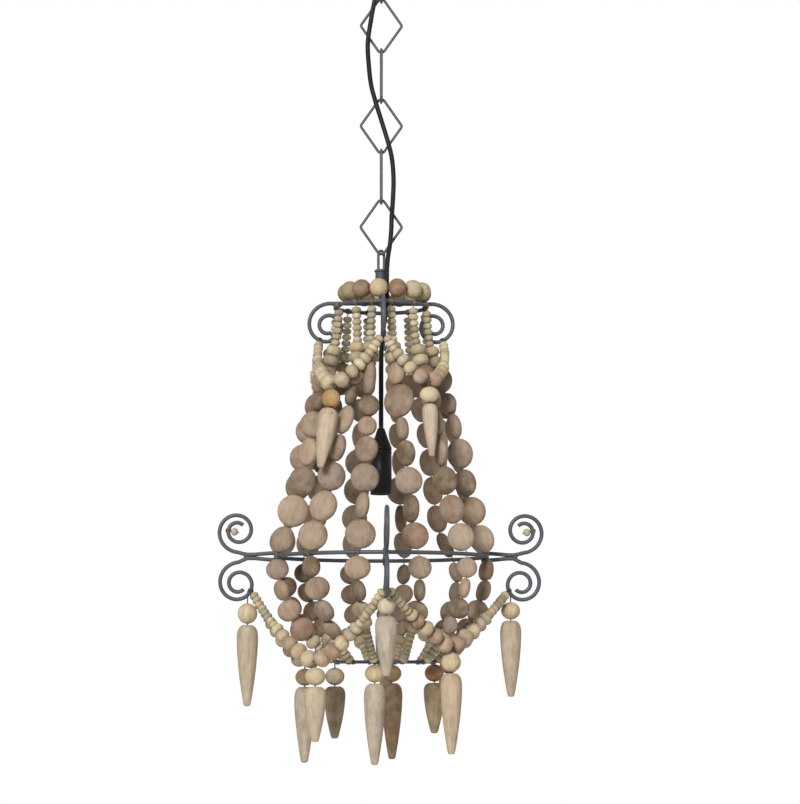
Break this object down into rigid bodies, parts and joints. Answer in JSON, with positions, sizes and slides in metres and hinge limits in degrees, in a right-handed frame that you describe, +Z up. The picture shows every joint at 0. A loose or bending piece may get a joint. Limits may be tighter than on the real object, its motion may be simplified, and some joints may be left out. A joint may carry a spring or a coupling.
{
  "type": "beaded chandelier",
  "caption": "Basket chandelier of wooden bead strings on wire rings with scroll brackets, bead swags and turned drops, on a link chain with a cord and one lampholder.",
  "frame": {"origin": "on the ceiling plane, at the middle of the plate's top face, above the chain's axis", "axes": "+Z up, -Y towards the front, +X to the right seen from the front; the chain hangs down along -Z"},
  "size_m": [0.3558, 0.3552, 0.9543],
  "materials": {
    "zinc_steel": "zinc plated",
    "white_plastic": "moulded",
    "grey_steel": "satin grey",
    "black_plastic": "satin black",
    "brass": "stamped",
    "black_cord": "satin black sheath",
    "tan_wood": "limed turned wood, worn",
    "brown_wood": "limed brown wood",
    "pale_wood": "limed pale wood"
  },
  "bodies": {
    "ceiling_fitting": {"ceiling_plate": "zinc_steel", "plate_screw_left": "zinc_steel", "plate_screw_right": "zinc_steel", "terminal_block": "white_plastic", "canopy": "grey_steel", "canopy_hook": "grey_steel", "cord_grip": "black_plastic", "power_cord": "black_cord"},
    "bar_1": {"bar_link_1": "grey_steel"},
    "diamond_1": {"diamond_link_1": "grey_steel"},
    "bar_2": {"bar_link_2": "grey_steel"},
    "diamond_2": {"diamond_link_2": "grey_steel"},
    "bar_3": {"bar_link_3": "grey_steel"},
    "diamond_3": {"diamond_link_3": "grey_steel"},
    "chandelier": {"hanger_eye": "grey_steel", "top_frame": "grey_steel", "lower_frame": "grey_steel", "bottom_ring": "grey_steel", "crown_beads": "tan_wood", "strand_01": "brown_wood", "strand_02": "brown_wood", "strand_03": "brown_wood", "strand_04": "brown_wood", "strand_05": "brown_wood", "strand_06": "brown_wood", "strand_07": "brown_wood", "strand_08": "brown_wood", "strand_09": "brown_wood", "strand_10": "brown_wood", "strand_11": "brown_wood", "strand_12": "brown_wood", "top_swag_front_right": "pale_wood", "top_swag_back_right": "pale_wood", "top_swag_back_left": "pale_wood", "top_swag_front_left": "pale_wood", "lower_swag_front_right": "pale_wood", "lower_swag_back_right": "pale_wood", "lower_swag_back_left": "pale_wood", "lower_swag_front_left": "pale_wood"},
    "lamp": {"lampholder_cap": "black_plastic", "lampholder_sleeve": "black_plastic", "socket_shell": "brass", "socket_contact": "brass"},
    "top_drop_front_right": {"top_pendant_front_right": "pale_wood"},
    "swag_drop_front_right": {"swag_pendant_front_right": "pale_wood"},
    "top_drop_back_right": {"top_pendant_back_right": "pale_wood"},
    "swag_drop_back_right": {"swag_pendant_back_right": "pale_wood"},
    "top_drop_back_left": {"top_pendant_back_left": "pale_wood"},
    "swag_drop_back_left": {"swag_pendant_back_left": "pale_wood"},
    "top_drop_front_left": {"top_pendant_front_left": "pale_wood"},
    "swag_drop_front_left": {"swag_pendant_front_left": "pale_wood"},
    "bracket_drop_front": {"bracket_pendant_front": "pale_wood"},
    "ring_drop_front": {"ring_pendant_front": "pale_wood"},
    "bracket_drop_right": {"bracket_pendant_right": "pale_wood"},
    "ring_drop_right": {"ring_pendant_right": "pale_wood"},
    "bracket_drop_back": {"bracket_pendant_back": "pale_wood"},
    "ring_drop_back": {"ring_pendant_back": "pale_wood"},
    "bracket_drop_left": {"bracket_pendant_left": "pale_wood"},
    "ring_drop_left": {"ring_pendant_left": "pale_wood"}
  },
  "joints": [
    {"name": "bar_1_swing", "type": "hinge", "parent": "ceiling_fitting", "child": "bar_1", "pos_m": [0, 0, -0.0563], "axis": [1, 0, 0], "range_deg": [-20, 20], "deforming": ["power_cord"]},
    {"name": "diamond_1_swing", "type": "hinge", "parent": "bar_1", "child": "diamond_1", "pos_m": [0, 0, -0.1125], "axis": [0, 1, 0], "range_deg": [-20, 20], "deforming": ["power_cord"]},
    {"name": "bar_2_swing", "type": "hinge", "parent": "diamond_1", "child": "bar_2", "pos_m": [0, 0, -0.1692], "axis": [1, 0, 0], "range_deg": [-20, 20], "deforming": ["power_cord"]},
    {"name": "diamond_2_swing", "type": "hinge", "parent": "bar_2", "child": "diamond_2", "pos_m": [0, 0, -0.2259], "axis": [0, 1, 0], "range_deg": [-20, 20], "deforming": ["power_cord"]},
    {"name": "bar_3_swing", "type": "hinge", "parent": "diamond_2", "child": "bar_3", "pos_m": [0, 0, -0.2826], "axis": [1, 0, 0], "range_deg": [-20, 20], "deforming": ["power_cord"]},
    {"name": "diamond_3_swing", "type": "hinge", "parent": "bar_3", "child": "diamond_3", "pos_m": [0, 0, -0.3393], "axis": [0, 1, 0], "range_deg": [-20, 20], "deforming": ["power_cord"]},
    {"name": "chandelier_swing", "type": "hinge", "parent": "diamond_3", "child": "chandelier", "pos_m": [0, 0, -0.396], "axis": [1, 0, 0], "range_deg": [-12, 12], "deforming": ["power_cord"]},
    {"name": "lamp_swing", "type": "hinge", "parent": "chandelier", "child": "lamp", "pos_m": [0, 0, -0.49], "axis": [0, 1, 0], "range_deg": [-8, 8], "deforming": ["power_cord"]},
    {"name": "top_drop_front_right_swing", "type": "hinge", "parent": "chandelier", "child": "top_drop_front_right", "pos_m": [0.04788, -0.07969, -0.54561], "axis": [-0.8572, -0.515, 0], "range_deg": [0, 25]},
    {"name": "top_drop_back_right_swing", "type": "hinge", "parent": "chandelier", "child": "top_drop_back_right", "pos_m": [0.06221, 0.06909, -0.54762], "axis": [0.7431, -0.6691, 0], "range_deg": [0, 25]},
    {"name": "top_drop_back_left_swing", "type": "hinge", "parent": "chandelier", "child": "top_drop_back_left", "pos_m": [-0.06221, 0.06909, -0.54762], "axis": [0.7431, 0.6691, 0], "range_deg": [0, 25]},
    {"name": "top_drop_front_left_swing", "type": "hinge", "parent": "chandelier", "child": "top_drop_front_left", "pos_m": [-0.05399, -0.07569, -0.54962], "axis": [-0.8141, 0.5807, 0], "range_deg": [0, 25]},
    {"name": "swag_drop_front_right_swing", "type": "hinge", "parent": "chandelier", "child": "swag_drop_front_right", "pos_m": [0.07159, -0.07544, -0.82887], "axis": [0.7254, 0.6884, 0], "range_deg": [-25, 25]},
    {"name": "swag_drop_back_right_swing", "type": "hinge", "parent": "chandelier", "child": "swag_drop_back_right", "pos_m": [0.07849, 0.06823, -0.83187], "axis": [-0.6561, 0.7547, 0], "range_deg": [-25, 25]},
    {"name": "swag_drop_back_left_swing", "type": "hinge", "parent": "chandelier", "child": "swag_drop_back_left", "pos_m": [-0.08195, 0.06403, -0.84487], "axis": [-0.6157, -0.788, 0], "range_deg": [-25, 25]},
    {"name": "swag_drop_front_left_swing", "type": "hinge", "parent": "chandelier", "child": "swag_drop_front_left", "pos_m": [-0.07224, -0.07481, -0.84387], "axis": [0.7193, -0.6947, 0], "range_deg": [-25, 25]},
    {"name": "bracket_drop_front_swing", "type": "hinge", "parent": "chandelier", "child": "bracket_drop_front", "pos_m": [0, -0.1434, -0.77077], "axis": [0, -1, 0], "range_deg": [-25, 25]},
    {"name": "bracket_drop_right_swing", "type": "hinge", "parent": "chandelier", "child": "bracket_drop_right", "pos_m": [0.14152, 0, -0.76971], "axis": [1, 0, 0], "range_deg": [-25, 25]},
    {"name": "bracket_drop_back_swing", "type": "hinge", "parent": "chandelier", "child": "bracket_drop_back", "pos_m": [0.01075, 0.14299, -0.77077], "axis": [0.075, 0.9972, 0], "range_deg": [-25, 25]},
    {"name": "bracket_drop_left_swing", "type": "hinge", "parent": "chandelier", "child": "bracket_drop_left", "pos_m": [-0.14497, 0, -0.77137], "axis": [-1, 0, 0], "range_deg": [-25, 25]},
    {"name": "ring_drop_front_swing", "type": "hinge", "parent": "chandelier", "child": "ring_drop_front", "pos_m": [-0.00861, -0.05251, -0.8438], "axis": [0.9724, -0.2334, 0], "range_deg": [-25, 25]},
    {"name": "ring_drop_right_swing", "type": "hinge", "parent": "chandelier", "child": "ring_drop_right", "pos_m": [0.058, 0, -0.8438], "axis": [0, 1, 0], "range_deg": [-25, 25]},
    {"name": "ring_drop_back_swing", "type": "hinge", "parent": "chandelier", "child": "ring_drop_back", "pos_m": [0.0143, 0.05301, -0.8438], "axis": [-0.9816, 0.1908, 0], "range_deg": [-25, 25]},
    {"name": "ring_drop_left_swing", "type": "hinge", "parent": "chandelier", "child": "ring_drop_left", "pos_m": [-0.05, 0, -0.8438], "axis": [0, -1, 0], "range_deg": [-25, 25]}
  ]
}
